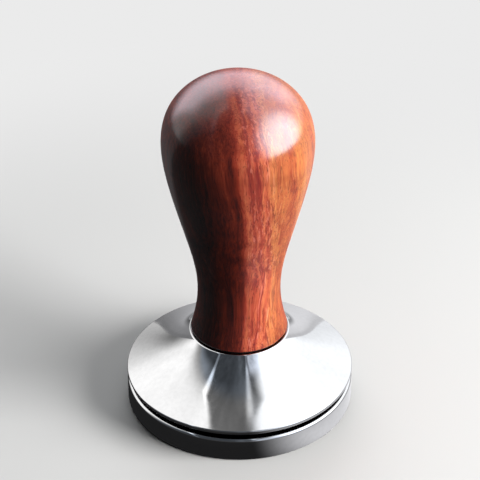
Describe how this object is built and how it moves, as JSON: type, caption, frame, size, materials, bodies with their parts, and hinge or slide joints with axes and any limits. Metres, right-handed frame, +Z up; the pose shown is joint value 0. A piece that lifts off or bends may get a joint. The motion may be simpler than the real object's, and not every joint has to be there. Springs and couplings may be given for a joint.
{
  "type": "espresso tamper",
  "caption": "Flat-faced espresso tamper: a pear-shaped turned hardwood handle that unscrews from a polished steel piston with a trumpet-shaped back and a turned groove below its rim.",
  "frame": {"origin": "centre of the flat tamping face at the bottom of the piston", "axes": "+Z up the tamper's axis from the tamping face to the top of the handle; +X to the right of the front view, which looks along +Y. The part is a body of revolution, so the direction of X is free"},
  "size_m": [0.058, 0.058, 0.0922],
  "materials": {
    "polished_steel": "polished",
    "plain_steel": "satin",
    "black_fibre": "matte",
    "insert_brass": "satin",
    "varnished_wood": "gloss"
  },
  "bodies": {
    "base": {"piston_base": "polished_steel", "set_screw": "plain_steel"},
    "washer": {"foot_washer": "black_fibre"},
    "handle": {"handle_grip": "varnished_wood", "handle_insert": "insert_brass"}
  },
  "joints": [
    {"name": "handle_lift", "type": "slide", "parent": "base", "child": "washer", "axis": [0, 0, 1], "range_m": [0, 0.01501]},
    {"name": "handle_unscrew", "type": "hinge", "parent": "washer", "child": "handle", "pos_m": [0, 0, 0.02085], "axis": [0, 0, 1], "range_deg": [0, 4320]}
  ],
  "couplings": [
    {"joint": "handle_lift", "follows": "handle_unscrew", "m_per_rad": 0.00019894}
  ]
}
